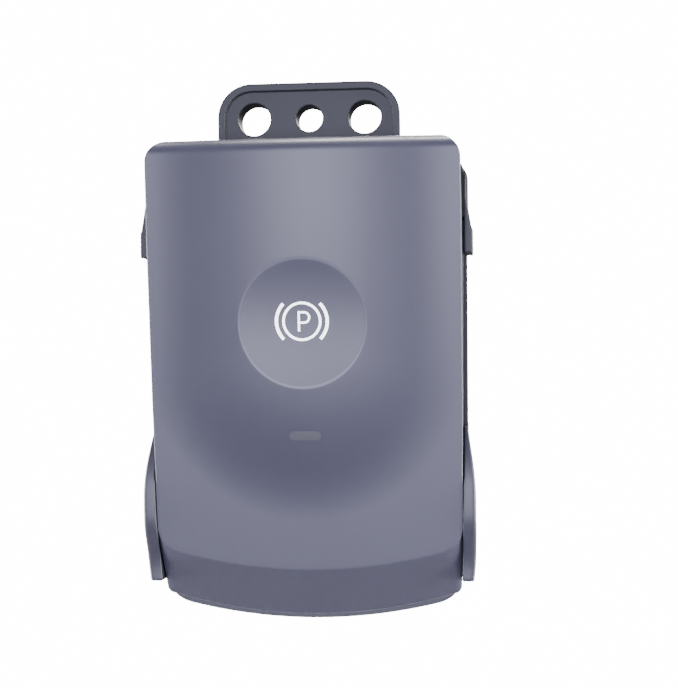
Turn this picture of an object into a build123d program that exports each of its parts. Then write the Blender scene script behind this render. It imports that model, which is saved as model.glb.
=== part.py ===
from build123d import *
from math import atan, cos, radians, sin, tan
import os

os.makedirs("parts", exist_ok=True)

# Electric parking brake switch. Millimetres. X is to the driver's right, Y away from the
# driver, Z up. The origin is the middle hole of the fixing ear, on the face that is screwed
# down. The paddle hinges on a cross pin between two round cheeks of the housing.

# Hinge: the axis runs along X, and the paddle leans back towards its lower end.
hinge_y = -1.0
hinge_z = -63.8
paddle_lean = 5.7
push_angle = 2.5
pull_angle = 4.0

# General clearances
swing_gap = 0.55
side_gap = 0.3
running_gap = 0.04
loose_fit = 0.1
drop_in_gap = 0.2

# How far a cutting shape runs past the face that it opens
overcut = 1.0

# Paddle outline, measured along the paddle from the hinge axis
paddle_half_width = 25.5
paddle_side_taper = 0.35
paddle_top = 60.2
paddle_top_corner = 3.3
top_edge_round = 2.2
paddle_bottom = -17.9
paddle_bottom_sag = 3.8
paddle_bottom_corner = 1.2
crease = -9.0
crease_corner = 4.6

# Paddle levels, measured out from the hinge axis
face_level = 10.6
crease_level = 10.9
bar_foot_level = 6.2
cover_back_level = 5.4
flange_thickness = 1.0
flange_proud = 0.1
flange_proud_below = 0.75
flange_bottom_corner = 6.0
cover_wall = 2.0

# Raised tongue of the face: a crown arc runs into a flare arc, and the lower end is round
tongue_rise = 3.2
tongue_half_width = 17.0
tongue_flare = 9.0
tongue_end = 24.6

# Round thumb dimple with the symbol, and the lamp window below it
dimple_height = 30.9
dimple_radius = 10.3
dimple_depth = 1.75
dimple_dish = 0.9
dimple_draft = 20.0
dimple_wall = 1.2
window_height = 12.7

# Finger scoop behind the top edge
scoop_start = 46.5
scoop_level = 8.0

# Paddle back plate, arms and screws
plug_thickness = 1.2
arm_thickness = 2.6
arm_radius = 4.2
arm_foot = 7.0
paddle_screw_x = 19.0
paddle_screw_heights = (39.5, 13.0)
paddle_boss_radius = 2.9
paddle_screw_radius = 1.1
paddle_screw_length = 5.6
paddle_screw_head_radius = 2.0
paddle_screw_head_height = 1.2

# Hinge pin and bushes
pin_radius = 1.5
pin_setback = 2.1
bush_wall = 0.8
bush_flange_radius = 3.2
bush_flange_thickness = 0.3
pin_chamfer = 0.3

# Housing tub: a drafted box that is open to the front and to the back
tub_front = -9.5
tub_back = 11.6
tub_reach = 0.85
arm_setback = 6.5
tub_top = -8.4
tub_bottom = -76.4
tub_draft = 7.5
tub_corner = 3.0
tub_wall = 1.8
floor_front = 3.6
floor_thickness = 1.5
recess_floor = -5.0
recess_bottom = -20.0
recess_wall = 2.0
recess_side_wall = 2.7

# Round cheeks at the hinge
cheek_reach = 0.8
cheek_bulge = 0.9
cheek_half_height = 12.6
cheek_front = -13.2
cheek_top_front = -9.4
cheek_nose = 3.2
cheek_throat = -7.6
cheek_throat_front = -11.3
cheek_foot_front = -11.6
cheek_back = 4.0
cheek_draft = 4.0

# Side hooks: a thin ramp that ends in a square lug
hook_lug_reach = 0.6
hook_ramp_reach = 0.45
hook_blade_setback = 0.3
hook_tip_setback = 0.9
hook_root_depth = 1.7
hook_top = -9.0
hook_shoulder = -11.0
hook_knee = -14.6
hook_lug_top = -19.2
hook_lug_bottom = -23.3
hook_front = -13.2
hook_back = -4.5

# Fixing ear with two screw holes and a locating hole between them
ear_half_width = 15.2
ear_top = 5.8
ear_corner = 5.6
ear_depth = 6.0
ear_rim_height = 1.0
ear_rim_width = 1.2
ear_plate_thickness = 2.2
ear_skirt_flare = -0.4
ear_skirt_wall = 1.5
ear_root = -11.2
screw_hole_spacing = 18.5
screw_hole_radius = 2.75
locating_hole_radius = 2.25
ear_boss_wall = 1.6

# Circuit board and what stands on it
board_front = 8.0
board_thickness = 1.6
board_half_width = 18.6
board_top = -18.0
board_bottom = -71.4
board_corner = 1.5
board_post_radius = 1.6
board_post_places = ((-15.5, -24.0), (15.5, -24.0), (-15.5, -57.0), (15.5, -57.0))
push_switch_x = -9.0
push_switch_height = 10.0
pull_switch_x = 9.0
pull_switch_height = -4.8
switch_size = 5.0
switch_body_height = 2.7
switch_bore_depth = 1.9
plunger_radius = 1.2
plunger_tip = 0.75
plunger_tip_gap = 0.12
plunger_length = 3.2
actuator_width = 5.0
actuator_thickness = 3.0
led_size = 3.2
led_height = 1.4
led_dome_radius = 1.1
led_dome_height = 0.5
led_window_radius = 2.8
chip_x = 10.0
chip_z = -33.0
chip_size = 7.0
chip_height = 1.2
chip_chamfer = 0.3
resistor_length = 2.0
resistor_width = 1.25
resistor_height = 0.6
resistor_pitch_x = 4.0
resistor_pitch_z = 3.0
resistor_columns = 2
resistor_rows = 3

# Light guides in the paddle
symbol_guide_radius = 7.0
symbol_guide_end_radius = 2.6
symbol_guide_collar_radius = 4.6
symbol_guide_disc = 1.6
guide_end = -0.6
window_guide_width = 5.6
window_guide_height = 2.4
guide_shoulder = 0.8
guide_shoulder_height = 1.4
collar_wall = 1.1

# Rear cover with the plug socket
rear_cover_thickness = 2.0
socket_z = -42.0
socket_half_width = 10.6
socket_half_height = 6.0
socket_depth = 12.5
socket_wall = 1.4
socket_corner = 1.6
pin_rows = 2
pins_per_row = 5
pin_pitch = 3.0
row_pitch = 3.6
terminal_width = 0.8
terminal_clear = 5.0
terminal_solder = 1.0
latch_width = 4.0
latch_height = 2.4
latch_length = 2.5
cover_screw_x = 17.4
cover_screw_top = -14.0
cover_screw_bottom = -70.6
cover_screw_radius = 1.25
cover_screw_length = 7.0
cover_screw_head_radius = 2.4
cover_screw_head_height = 1.5
cover_boss_radius = 2.9

# Rubber stops
stop_radius = 2.6
stop_thickness = 1.8
stop_post_radius = 3.2
push_stop_x = 12.5
push_stop_height = 39.0
pull_stop_x = 15.0
pull_stop_height = -6.8
stop_dome = 0.8
stop_gap = 0.18

# Centring springs
spring_wire = 0.8
spring_radius = 2.9
spring_turns = 4
spring_pitch = 0.95
spring_start = 12.6

# Widths that follow the paddle
tub_half_width = paddle_half_width + tub_reach
arm_inner = tub_half_width - arm_setback
pin_half_length = tub_half_width - pin_setback
recess_half_width = tub_half_width - recess_side_wall
cheek_half_width = tub_half_width + cheek_reach
flange_back = cover_back_level - flange_thickness

# Directions and planes of the paddle
lean = radians(paddle_lean)
paddle_up = (0, -sin(lean), cos(lean))
paddle_down = (0, sin(lean), -cos(lean))
paddle_out = (0, -cos(lean), -sin(lean))
paddle_in = (0, cos(lean), sin(lean))
paddle_plane = Plane(origin=(0, hinge_y, hinge_z), x_dir=(1, 0, 0), z_dir=paddle_out)
side_plane = Plane(origin=(0, hinge_y, hinge_z), x_dir=paddle_up, z_dir=(1, 0, 0))


def point_y(height, level):
    """Y of a point of the paddle's side view."""
    return hinge_y - height * sin(lean) - level * cos(lean)


def point_z(height, level):
    """Z of a point of the paddle's side view."""
    return hinge_z + height * cos(lean) - level * sin(lean)


def level_at(height, y):
    """Level of the point at a height of the paddle that has this Y."""
    return (hinge_y - height * sin(lean) - y) / cos(lean)


def wall_plane(y):
    """Plane parallel to the ear, facing the driver."""
    return Plane.XZ.offset(-y)


def side_point(height, inset):
    """Point on the paddle's right side, which narrows downwards, drawn in by inset."""
    narrowing = (paddle_top - height) * tan(radians(paddle_side_taper))
    return (paddle_half_width - inset - narrowing, height)


def paddle_outline(inset, bottom, corner, top=paddle_top):
    """Front view outline of the paddle, drawn in by inset."""
    low = side_point(bottom + inset + paddle_bottom_sag, inset)
    high = side_point(top - inset, inset)
    with BuildSketch() as outline:
        with BuildLine():
            ThreePointArc((-low[0], low[1]), (0, bottom + inset), low)
            Polyline(low, high, (-high[0], high[1]), (-low[0], low[1]))
        make_face()
        fillet(outline.vertices().group_by(Axis.Y)[-1], paddle_top_corner)
        fillet(outline.vertices().group_by(Axis.Y)[0], corner)
    return outline.sketch


def paddle_envelope(inset, back, front, top=paddle_top):
    """Block inside the paddle's outline, with the sloping bar below the crease."""
    foot = paddle_outline(inset, paddle_bottom, paddle_bottom_corner, top)
    brow = paddle_outline(inset, crease, crease_corner, top)
    with BuildPart() as envelope:
        with BuildSketch(paddle_plane.offset(back)):
            add(foot)
        extrude(amount=bar_foot_level - back)
        with BuildSketch(paddle_plane.offset(bar_foot_level)):
            add(foot)
        with BuildSketch(paddle_plane.offset(crease_level)):
            add(brow)
        loft()
        with BuildSketch(paddle_plane.offset(crease_level)):
            add(brow)
        extrude(amount=front - crease_level)
    return envelope.part


crown_angle = 2 * atan(tongue_rise / (tongue_half_width + tongue_flare))
crown_drop = tongue_half_width * tan(crown_angle / 2)
tongue_plane = Plane(
    origin=paddle_plane.from_local_coords((0, tongue_end, 0)),
    x_dir=(1, 0, 0),
    z_dir=paddle_down,
)
form_reach = 2 * paddle_half_width
form_front = face_level + tongue_rise + cover_wall


def tongue_form(drop, back, top_round=0):
    """Everything under the face, lowered by drop, with the top edge rounded."""
    base = face_level - drop
    crest = base + tongue_rise
    with BuildPart() as form:
        with BuildSketch(tongue_plane) as half_section:
            with BuildLine():
                crown = TangentArc(
                    (0, crest), (tongue_half_width, crest - crown_drop), tangent=(1, 0)
                )
                flare = TangentArc(
                    crown @ 1, (tongue_half_width + tongue_flare, base), tangent=crown % 1
                )
                Polyline(flare @ 1, (form_reach, base), (form_reach, back), (0, back), (0, crest))
            make_face()
        revolve(axis=Axis(tongue_plane.origin, paddle_in), revolution_arc=180)
        with BuildSketch(tongue_plane):
            add(half_section.sketch_local)
            mirror(about=Plane.YZ)
        extrude(amount=tongue_end - paddle_top)
        if top_round:
            top_face = form.faces().sort_by(Axis(tongue_plane.origin, paddle_up))[-1]
            front_edges = [
                edge
                for edge in top_face.edges()
                if paddle_plane.to_local_coords(edge.center()).Z > base - top_round / 2
            ]
            fillet(front_edges, top_round)
    return form.part


# Paddle cover: a painted clear moulding with the tongue, the dimple and the bar below
crest_level = face_level + tongue_rise
dimple_floor = crest_level - dimple_depth
dimple_rim = dimple_floor + dimple_dish
dimple_mouth = dimple_radius + (form_front - dimple_rim) * tan(radians(dimple_draft))
dimple_back = dimple_floor - dimple_wall
dimple_plane = Plane(
    origin=paddle_plane.from_local_coords((0, dimple_height, 0)),
    x_dir=(1, 0, 0),
    z_dir=paddle_down,
)
paddle_screw_places = [
    (x, height) for height in paddle_screw_heights for x in (-paddle_screw_x, paddle_screw_x)
]
plug_level = cover_back_level + plug_thickness

with BuildPart() as cover_cavity:
    add(paddle_envelope(cover_wall, cover_back_level - overcut, form_front, scoop_start))
    add(tongue_form(cover_wall, cover_back_level - overcut), mode=Mode.INTERSECT)
    with BuildSketch(paddle_plane.offset(plug_level)):
        with Locations(*paddle_screw_places):
            Circle(paddle_boss_radius)
    extrude(amount=form_front, mode=Mode.SUBTRACT)
    with BuildSketch(paddle_plane.offset(dimple_back)):
        with Locations((0, dimple_height)):
            Circle(dimple_radius + dimple_wall)
    extrude(amount=form_front, mode=Mode.SUBTRACT)

with BuildPart() as paddle_cover:
    add(paddle_envelope(0, cover_back_level, form_front))
    add(tongue_form(0, 0, top_edge_round), mode=Mode.INTERSECT)
    with BuildSketch(dimple_plane):
        with BuildLine():
            ThreePointArc((-dimple_radius, dimple_rim), (0, dimple_floor), (dimple_radius, dimple_rim))
            Polyline(
                (dimple_radius, dimple_rim),
                (dimple_mouth, form_front),
                (-dimple_mouth, form_front),
                (-dimple_radius, dimple_rim),
            )
        make_face()
        with Locations((-form_reach / 2, 0)):
            Rectangle(form_reach, 2 * form_front, mode=Mode.SUBTRACT)
    revolve(axis=Axis(dimple_plane.origin, paddle_out), mode=Mode.SUBTRACT)
    with BuildSketch(side_plane):
        with BuildLine():
            Polyline(
                (scoop_start, 0),
                (scoop_start, scoop_level),
                (paddle_top + overcut, scoop_level),
                (paddle_top + overcut, 0),
                close=True,
            )
        make_face()
    extrude(amount=form_reach, both=True, mode=Mode.SUBTRACT)
    add(cover_cavity.part, mode=Mode.SUBTRACT)
    with BuildSketch(paddle_plane.offset(plug_level)):
        with Locations(*paddle_screw_places):
            Circle(paddle_screw_radius)
    extrude(amount=paddle_screw_length - flange_thickness - plug_thickness, mode=Mode.SUBTRACT)


# Paddle back: closes the cover, and carries the hinge arms and the two switch ribs
push_tip_y = floor_front - plunger_tip - plunger_tip_gap
push_rib_level = level_at(push_switch_height, push_tip_y)
pull_rib_level = level_at(pull_switch_height, push_tip_y)
bush_radius = pin_radius + running_gap + bush_wall

with BuildPart() as paddle_back:
    with BuildSketch(paddle_plane.offset(flange_back)):
        add(
            paddle_outline(
                -flange_proud,
                paddle_bottom - flange_proud_below,
                flange_bottom_corner,
                scoop_start - flange_proud,
            )
        )
    extrude(amount=flange_thickness)
    with BuildSketch(paddle_plane.offset(cover_back_level)):
        add(
            paddle_outline(
                cover_wall + drop_in_gap,
                paddle_bottom + plug_thickness,
                paddle_bottom_corner,
                scoop_start,
            )
        )
    extrude(amount=plug_thickness)
    with BuildSketch(side_plane.offset(arm_inner)):
        with BuildLine():
            Polyline(
                (-arm_foot, flange_back),
                (arm_foot, flange_back),
                (arm_radius, 0),
                (-arm_radius, 0),
                close=True,
            )
        make_face()
        Circle(arm_radius)
        Circle(bush_radius, mode=Mode.SUBTRACT)
    extrude(amount=arm_thickness)
    mirror(about=Plane.YZ)
    with BuildSketch(paddle_plane.offset(flange_back)):
        with Locations((push_switch_x, push_switch_height)):
            Rectangle(actuator_width, actuator_thickness)
    extrude(amount=push_rib_level - flange_back)
    with BuildSketch(paddle_plane.offset(flange_back)):
        with Locations((pull_switch_x, pull_switch_height)):
            Rectangle(actuator_width, actuator_thickness)
    extrude(amount=pull_rib_level - flange_back)
    with BuildSketch(paddle_plane.offset(plug_level)):
        with Locations((0, dimple_height)):
            Circle(symbol_guide_collar_radius + collar_wall)
    extrude(amount=dimple_back - symbol_guide_disc - plug_level)
    with BuildSketch(paddle_plane.offset(flange_back)):
        with Locations((0, dimple_height)):
            Circle(symbol_guide_collar_radius)
        with Locations((0, window_height)):
            Rectangle(window_guide_width + loose_fit, window_guide_height + loose_fit)
        with Locations(*paddle_screw_places):
            Circle(paddle_screw_radius + loose_fit)
    extrude(amount=form_front, mode=Mode.SUBTRACT)


# Light guides: a disc and cone behind the symbol, and a bar behind the lamp window
symbol_guide_end = level_at(dimple_height, guide_end)
window_guide_end = level_at(window_height, guide_end)

with BuildPart() as symbol_light_guide:
    with BuildSketch(paddle_plane.offset(dimple_back - symbol_guide_disc)):
        with Locations((0, dimple_height)):
            Circle(symbol_guide_radius)
    extrude(amount=symbol_guide_disc)
    with BuildSketch(paddle_plane.offset(dimple_back - symbol_guide_disc)):
        with Locations((0, dimple_height)):
            Circle(symbol_guide_collar_radius - loose_fit)
    with BuildSketch(paddle_plane.offset(symbol_guide_end)):
        with Locations((0, dimple_height)):
            Circle(symbol_guide_end_radius)
    loft()

with BuildPart() as window_light_guide:
    with BuildSketch(paddle_plane.offset(window_guide_end)):
        with Locations((0, window_height)):
            Rectangle(window_guide_width, window_guide_height)
    extrude(amount=crest_level - cover_wall - window_guide_end)
    with BuildSketch(paddle_plane.offset(plug_level)):
        with Locations((0, window_height)):
            Rectangle(window_guide_width + 2 * guide_shoulder, window_guide_height + 2 * guide_shoulder)
    extrude(amount=guide_shoulder_height)
    add(paddle_cover.part, mode=Mode.SUBTRACT)


# Screws that hold the back plate to the cover
with BuildPart() as paddle_screws:
    with BuildSketch(paddle_plane.offset(flange_back)):
        with Locations(*paddle_screw_places):
            Circle(paddle_screw_radius - running_gap)
    extrude(amount=paddle_screw_length)
    with BuildSketch(paddle_plane.offset(flange_back)):
        with Locations(*paddle_screw_places):
            Circle(paddle_screw_head_radius)
    extrude(amount=-paddle_screw_head_height)


# Hinge: a steel pin through both arms, and a flanged bush pressed into each arm
pin_plane = Plane(origin=(0, hinge_y, hinge_z), x_dir=(0, 1, 0), z_dir=(1, 0, 0))
arm_outer = arm_inner + arm_thickness

with BuildPart() as hinge_pin:
    with BuildSketch(pin_plane):
        Circle(pin_radius)
    extrude(amount=pin_half_length, both=True)
    chamfer(hinge_pin.edges().filter_by(GeomType.CIRCLE), pin_chamfer)


def bush(side):
    """Flanged bush in one arm, with its flange towards the housing wall."""
    with BuildPart() as tube:
        with BuildSketch(pin_plane.offset(side * arm_inner)):
            Circle(bush_radius)
        extrude(amount=side * arm_thickness)
        with BuildSketch(pin_plane.offset(side * arm_outer)):
            Circle(bush_flange_radius)
        extrude(amount=side * bush_flange_thickness)
        with BuildSketch(pin_plane.offset(side * arm_inner)):
            Circle(pin_radius + running_gap)
        extrude(amount=side * 2 * arm_thickness, mode=Mode.SUBTRACT)
    return tube


left_bush = bush(-1)
right_bush = bush(1)


# Housing: drafted tub with the hinge cheeks, the side hooks and the fixing ear
draft_slope = tan(radians(tub_draft))


def tub_section(y, inset):
    """Rounded rectangle of the drafted tub at one depth, drawn in by inset."""
    taper = (y - tub_front) * draft_slope + inset
    height = tub_top - tub_bottom - 2 * taper
    with BuildSketch(wall_plane(y)) as section:
        with Locations((0, (tub_top + tub_bottom) / 2)):
            RectangleRounded(2 * (tub_half_width - taper), height, tub_corner)
    return section.sketch_local


def rim_level(height):
    """Level of the housing rim behind the paddle, clear of its swing."""
    swing = push_angle if height > 0 else -pull_angle
    return flange_back - swing_gap - height * sin(radians(swing))


def swing_side():
    """Side view of the room that the swinging paddle needs, with a step under its finger scoop."""
    scoop_step = scoop_level - flange_back
    ledge = scoop_start + swing_gap
    with BuildSketch() as side_view:
        with BuildLine():
            Polyline(
                (paddle_top + overcut, rim_level(paddle_top) + scoop_step),
                (ledge, rim_level(scoop_start) + scoop_step),
                (ledge, rim_level(scoop_start)),
                (0, rim_level(0)),
                (paddle_bottom, rim_level(paddle_bottom)),
                (-form_reach, rim_level(paddle_bottom)),
                (-form_reach, form_reach),
                (paddle_top + overcut, form_reach),
                close=True,
            )
        make_face()
    return side_view.sketch


def tub_room(front, back, top, bottom):
    """Drafted room inside the tub between two depths and two heights."""
    with BuildPart() as room:
        with BuildSketch(wall_plane(front)):
            add(tub_section(front, tub_wall))
        with BuildSketch(wall_plane(back)):
            add(tub_section(back, tub_wall))
        loft()
        with BuildSketch(Plane.YZ):
            with Locations(((front + back) / 2, (top + bottom) / 2)):
                Rectangle(back - front, top - bottom)
        extrude(amount=form_reach, both=True, mode=Mode.INTERSECT)
    return room.part


def cheek_section(y):
    """Barrel outline of both cheeks at one depth, drafted towards the back."""
    taper = (y - cheek_front) * tan(radians(cheek_draft))
    waist = cheek_half_width - taper
    end = waist - cheek_bulge
    top = hinge_z + cheek_half_height
    bottom = hinge_z - cheek_half_height
    with BuildSketch(wall_plane(y)) as section:
        with BuildLine():
            ThreePointArc((end, bottom), (waist, hinge_z), (end, top))
            Line((end, top), (-end, top))
            ThreePointArc((-end, top), (-waist, hinge_z), (-end, bottom))
            Line((-end, bottom), (end, bottom))
        make_face()
    return section.sketch_local


with BuildPart() as cheeks:
    with BuildSketch(wall_plane(cheek_back)):
        add(cheek_section(cheek_back))
    with BuildSketch(wall_plane(cheek_front)):
        add(cheek_section(cheek_front))
    loft()
    with BuildSketch(Plane.YZ):
        with BuildLine():
            nose = Spline(
                (cheek_top_front, hinge_z + cheek_half_height),
                (cheek_front, hinge_z - cheek_nose / 2),
                (cheek_throat_front, hinge_z + cheek_throat),
                (cheek_foot_front, hinge_z - cheek_half_height),
            )
            Polyline(
                nose @ 1,
                (cheek_back, hinge_z - cheek_half_height),
                (cheek_back, hinge_z + cheek_half_height),
                nose @ 0,
            )
        make_face()
    extrude(amount=form_reach, both=True, mode=Mode.INTERSECT)


def ear_section(y, inset, bottom):
    """Front view outline of the ear at one depth, drawn in by inset."""
    flare = ear_skirt_flare * (y + ear_depth) / ear_depth - inset
    half_width = ear_half_width + flare
    with BuildSketch(wall_plane(y)) as section:
        with Locations((0, (ear_top + flare + bottom) / 2)):
            Rectangle(2 * half_width, ear_top + flare - bottom)
        fillet(section.vertices().group_by(Axis.Y)[-1], ear_corner + flare)
    return section.sketch_local


ear_face = ear_rim_height - ear_depth
screw_hole_places = [(-screw_hole_spacing / 2, 0), (screw_hole_spacing / 2, 0)]

with BuildPart() as ear:
    with BuildSketch(wall_plane(-ear_depth)):
        add(ear_section(-ear_depth, 0, ear_root))
    with BuildSketch(wall_plane(0)):
        add(ear_section(0, 0, ear_root))
    loft()
    with BuildSketch(wall_plane(-ear_depth)):
        add(ear_section(-ear_depth, ear_rim_width, ear_root))
    extrude(amount=-ear_rim_height, mode=Mode.SUBTRACT)
    with BuildSketch(wall_plane(ear_face + ear_plate_thickness)):
        add(ear_section(-ear_depth, ear_skirt_wall, tub_top))
    extrude(amount=-ear_depth, mode=Mode.SUBTRACT)
    with BuildSketch(wall_plane(ear_face)):
        with Locations(*screw_hole_places):
            Circle(screw_hole_radius + ear_boss_wall)
        Circle(locating_hole_radius + ear_boss_wall)
    extrude(amount=ear_face)
    with BuildSketch(wall_plane(0)):
        with Locations(*screw_hole_places):
            Circle(screw_hole_radius)
        Circle(locating_hole_radius)
    extrude(amount=ear_depth, mode=Mode.SUBTRACT)


floor_back = floor_front + floor_thickness
pocket_back = tub_back + overcut
cover_screw_places = [
    (x, z) for z in (cover_screw_bottom, cover_screw_top) for x in (-cover_screw_x, cover_screw_x)
]
push_switch_z = point_z(push_switch_height, push_rib_level)
pull_switch_z = point_z(pull_switch_height, pull_rib_level)
switch_places = [(push_switch_x, push_switch_z), (pull_switch_x, pull_switch_z)]
symbol_led_z = point_z(dimple_height, symbol_guide_end)
window_led_z = point_z(window_height, window_guide_end)
led_places = [(0, symbol_led_z), (0, window_led_z)]


def stop_face(height, swing):
    """Y of the tip of a rubber stop that the back plate meets at its limit."""
    travel = abs(height) * sin(radians(swing))
    return point_y(height, flange_back) + travel + stop_gap


push_stop_y = stop_face(push_stop_height, push_angle)
pull_stop_y = stop_face(pull_stop_height, pull_angle)
push_stop_z = point_z(push_stop_height, flange_back)
pull_stop_z = point_z(pull_stop_height, flange_back)
push_stop_places = [(-push_stop_x, push_stop_z), (push_stop_x, push_stop_z)]
pull_stop_places = [(-pull_stop_x, pull_stop_z), (pull_stop_x, pull_stop_z)]

slot_outline = paddle_outline(
    -flange_proud - side_gap,
    paddle_bottom - paddle_half_width,
    paddle_bottom_corner,
    paddle_top + overcut,
)

with BuildPart() as slot:
    with BuildSketch(side_plane):
        add(swing_side())
    extrude(amount=form_reach, both=True)
    with BuildSketch(paddle_plane.offset(-form_reach)):
        add(slot_outline)
    extrude(amount=2 * form_reach, mode=Mode.INTERSECT)

with BuildPart() as side_grips:
    add(cheeks.part)
    for side in (-1, 1):
        with BuildSketch(wall_plane(hook_back)):
            with BuildLine():
                Polyline(
                    (side * (tub_half_width - hook_root_depth), hook_top),
                    (side * (tub_half_width - hook_tip_setback), hook_top),
                    (side * (tub_half_width - hook_blade_setback), hook_shoulder),
                    (side * (tub_half_width - hook_blade_setback), hook_knee),
                    (side * (tub_half_width + hook_ramp_reach), hook_lug_top),
                    (side * (tub_half_width + hook_lug_reach), hook_lug_top),
                    (side * (tub_half_width + hook_lug_reach), hook_lug_bottom),
                    (side * (tub_half_width - hook_root_depth), hook_lug_bottom),
                    close=True,
                )
            make_face()
        extrude(amount=hook_back - hook_front)
    add(slot.part, mode=Mode.SUBTRACT)

with BuildPart() as housing:
    with BuildSketch(wall_plane(tub_front)):
        add(tub_section(tub_front, 0))
    with BuildSketch(wall_plane(tub_back)):
        add(tub_section(tub_back, 0))
    loft()
    with BuildSketch(side_plane):
        add(swing_side())
    extrude(amount=form_reach, both=True, mode=Mode.SUBTRACT)
    add(side_grips.part)
    add(tub_room(tub_front, floor_front, recess_bottom - recess_wall, tub_bottom), mode=Mode.SUBTRACT)
    add(tub_room(tub_front, recess_floor, 0, recess_bottom), mode=Mode.SUBTRACT)
    with BuildSketch(wall_plane(recess_floor)):
        with Locations((0, tub_top)):
            Rectangle(2 * recess_half_width, 2 * (tub_top - recess_bottom))
    extrude(amount=form_reach, mode=Mode.SUBTRACT)
    add(tub_room(floor_back, pocket_back, tub_top, tub_bottom), mode=Mode.SUBTRACT)
    with BuildSketch(wall_plane(recess_floor + recess_wall)):
        with Locations((0, (tub_top + recess_bottom) / 2 - tub_wall)):
            Rectangle(2 * board_half_width, tub_top - recess_bottom - 2 * tub_wall)
    extrude(amount=recess_floor + recess_wall - pocket_back, mode=Mode.SUBTRACT)
    add(ear.part)
    with BuildSketch(wall_plane(floor_back)):
        with Locations(*cover_screw_places):
            Circle(cover_boss_radius)
    extrude(amount=floor_back - tub_back)
    with BuildSketch(wall_plane(floor_back)):
        with Locations(*board_post_places):
            Circle(board_post_radius)
    extrude(amount=floor_back - board_front)
    with BuildSketch(wall_plane(floor_front)):
        with Locations(*push_stop_places):
            Circle(stop_post_radius)
    extrude(amount=floor_front - push_stop_y - stop_thickness)
    with BuildSketch(wall_plane(floor_front)):
        with Locations(*pull_stop_places):
            Circle(stop_post_radius)
    extrude(amount=floor_front - pull_stop_y - stop_thickness)
    with BuildSketch(wall_plane(tub_back)):
        with Locations(*cover_screw_places):
            Circle(cover_screw_radius)
    extrude(amount=cover_screw_length - rear_cover_thickness, mode=Mode.SUBTRACT)
    with BuildSketch(wall_plane(floor_back)):
        with Locations(*switch_places):
            Circle(plunger_radius + side_gap)
        with Locations(*led_places):
            Circle(led_window_radius)
    extrude(amount=floor_thickness, mode=Mode.SUBTRACT)
    with BuildSketch(pin_plane):
        Circle(pin_radius + running_gap)
    extrude(amount=pin_half_length + loose_fit, both=True, mode=Mode.SUBTRACT)


# Rear cover: a plate with the plug socket, screwed to the back of the tub
socket_back = tub_back + rear_cover_thickness + socket_depth

with BuildPart() as rear_cover:
    with BuildSketch(wall_plane(tub_back)):
        add(tub_section(tub_back, 0))
    extrude(amount=-rear_cover_thickness)
    with BuildSketch(wall_plane(tub_back)):
        with Locations((0, socket_z)):
            RectangleRounded(2 * socket_half_width, 2 * socket_half_height, socket_corner)
    extrude(amount=-rear_cover_thickness - socket_depth)
    with BuildSketch(wall_plane(tub_back + rear_cover_thickness)):
        with Locations((0, socket_z)):
            RectangleRounded(
                2 * (socket_half_width - socket_wall),
                2 * (socket_half_height - socket_wall),
                socket_corner - socket_wall / 2,
            )
    extrude(amount=-socket_depth, mode=Mode.SUBTRACT)
    with BuildSketch(wall_plane(socket_back)):
        with Locations((0, socket_z + socket_half_height)):
            Rectangle(latch_width, latch_height)
    extrude(amount=latch_length)
    with BuildSketch(wall_plane(tub_back)):
        with Locations(*board_post_places):
            Circle(board_post_radius)
    extrude(amount=tub_back - board_front - board_thickness)
    with BuildSketch(wall_plane(tub_back)):
        with Locations(*cover_screw_places):
            Circle(cover_screw_radius + loose_fit)
        with Locations((0, socket_z)):
            with GridLocations(pin_pitch, row_pitch, pins_per_row, pin_rows):
                Rectangle(terminal_width + loose_fit, terminal_width + loose_fit)
    extrude(amount=-rear_cover_thickness, mode=Mode.SUBTRACT)


# Screws of the rear cover
with BuildPart() as cover_screws:
    with BuildSketch(wall_plane(tub_back + rear_cover_thickness)):
        with Locations(*cover_screw_places):
            Circle(cover_screw_radius - running_gap)
    extrude(amount=cover_screw_length)
    with BuildSketch(wall_plane(tub_back + rear_cover_thickness)):
        with Locations(*cover_screw_places):
            Circle(cover_screw_head_radius)
    extrude(amount=-cover_screw_head_height)


# Circuit board with holes for the terminals and notches round the screw bosses

with BuildPart() as circuit_board:
    with BuildSketch(wall_plane(board_front)):
        with Locations((0, (board_top + board_bottom) / 2)):
            RectangleRounded(2 * board_half_width, board_top - board_bottom, board_corner)
        with Locations(*cover_screw_places):
            Circle(cover_boss_radius + side_gap, mode=Mode.SUBTRACT)
        with Locations((0, socket_z)):
            with GridLocations(pin_pitch, row_pitch, pins_per_row, pin_rows):
                Circle(terminal_width, mode=Mode.SUBTRACT)
    extrude(amount=-board_thickness)


# Terminals: square pins from the board into the plug socket
with BuildPart() as socket_terminals:
    with BuildSketch(wall_plane(board_front - terminal_solder)):
        with Locations((0, socket_z)):
            with GridLocations(pin_pitch, row_pitch, pins_per_row, pin_rows):
                Rectangle(terminal_width, terminal_width)
    extrude(amount=board_front - terminal_solder - socket_back + terminal_clear)


# Switches on the board, with plungers that reach through the floor of the tub
def switch_body(place):
    """Square body with a bore for the plunger."""
    with BuildPart() as body:
        with BuildSketch(wall_plane(board_front)):
            with Locations(place):
                Rectangle(switch_size, switch_size)
        extrude(amount=switch_body_height)
        with BuildSketch(wall_plane(board_front - switch_body_height)):
            with Locations(place):
                Circle(plunger_radius + running_gap)
        extrude(amount=-switch_bore_depth, mode=Mode.SUBTRACT)
    return body


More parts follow.
